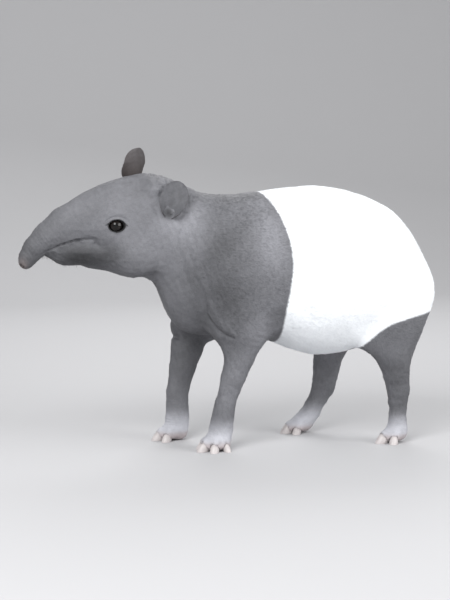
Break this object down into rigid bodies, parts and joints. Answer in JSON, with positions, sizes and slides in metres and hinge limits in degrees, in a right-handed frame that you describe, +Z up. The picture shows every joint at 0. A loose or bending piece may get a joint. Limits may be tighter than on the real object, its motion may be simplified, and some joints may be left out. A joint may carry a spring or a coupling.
{
  "type": "standing tapir",
  "caption": "Life-size standing Malayan tapir: short drooping proboscis, cupped ears, barrel body with a white saddle, sturdy legs and small hoofed toes.",
  "frame": {"origin": "on the floor under the middle of the bounding box", "axes": "+Z up; the head looks towards -X and the tail is towards +X; the animal's left side is towards -Y"},
  "size_m": [1.7258, 0.5622, 1.2191],
  "materials": {
    "hide": "grey hide under short fine hair, matte with a faint sheen",
    "saddle": "white hide under short fine hair, matte",
    "pale_foot": "paler, pinkish grey skin of the feet",
    "hoof": "pale pinkish grey horn, worn to a dull shine",
    "eye": "wet black eye"
  },
  "bodies": {
    "root": {"proboscis": "hide", "head": "hide", "neck": "hide", "forequarters": "hide", "barrel": "saddle", "foreleg_left": "hide", "hindleg_left": "hide", "foreleg_right": "hide", "hindleg_right": "hide", "forefoot_left": "pale_foot", "hoof_forefoot_left_1": "hoof", "hoof_forefoot_left_2": "hoof", "hoof_forefoot_left_3": "hoof", "hoof_forefoot_left_4": "hoof", "forefoot_right": "pale_foot", "hoof_forefoot_right_1": "hoof", "hoof_forefoot_right_2": "hoof", "hoof_forefoot_right_3": "hoof", "hoof_forefoot_right_4": "hoof", "hindfoot_left": "pale_foot", "hoof_hindfoot_left_1": "hoof", "hoof_hindfoot_left_2": "hoof", "hoof_hindfoot_left_3": "hoof", "hindfoot_right": "pale_foot", "hoof_hindfoot_right_1": "hoof", "hoof_hindfoot_right_2": "hoof", "hoof_hindfoot_right_3": "hoof", "eye_left": "eye", "eye_right": "eye", "ear_left": "hide", "ear_right": "hide", "tail": "hide"}
  },
  "joints": []
}
